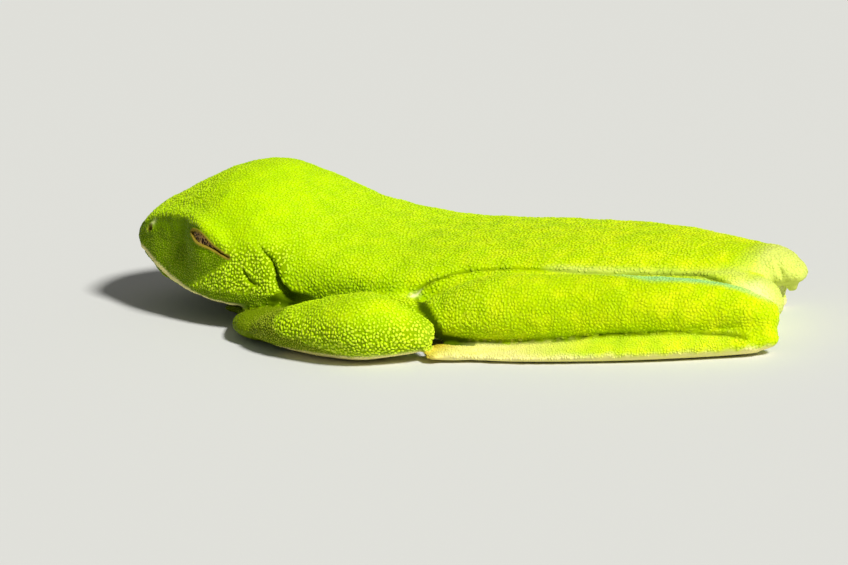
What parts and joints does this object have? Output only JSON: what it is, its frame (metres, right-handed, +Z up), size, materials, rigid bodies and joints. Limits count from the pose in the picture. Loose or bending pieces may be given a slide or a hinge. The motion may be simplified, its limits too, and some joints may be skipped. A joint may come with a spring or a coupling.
{
  "type": "tree frog",
  "caption": "Life-size still model of a red-eyed tree frog asleep on its belly, limbs tucked against its sides and eyes closed.",
  "frame": {"origin": "on the floor, under the middle of the bounding box", "axes": "+X towards the rear, the snout at -X; +Z up; the frog's left side at -Y"},
  "size_m": [0.0608, 0.0348, 0.0119],
  "materials": {
    "leaf_green_skin": "moist, finely granular skin with a satin sheen",
    "pale_foot_skin": "smooth satin skin",
    "closed_eye": "glossy, wet"
  },
  "bodies": {
    "root": {"head": "leaf_green_skin", "trunk": "leaf_green_skin", "eye_left": "closed_eye", "eye_right": "closed_eye", "upper_arm_left": "leaf_green_skin", "upper_arm_right": "leaf_green_skin", "forearm_left": "leaf_green_skin", "forearm_right": "leaf_green_skin", "hand_left": "pale_foot_skin", "hand_right": "pale_foot_skin", "thigh_left": "leaf_green_skin", "thigh_right": "leaf_green_skin", "shank_left": "leaf_green_skin", "shank_right": "leaf_green_skin", "foot_left": "pale_foot_skin", "foot_right": "pale_foot_skin"}
  },
  "joints": []
}
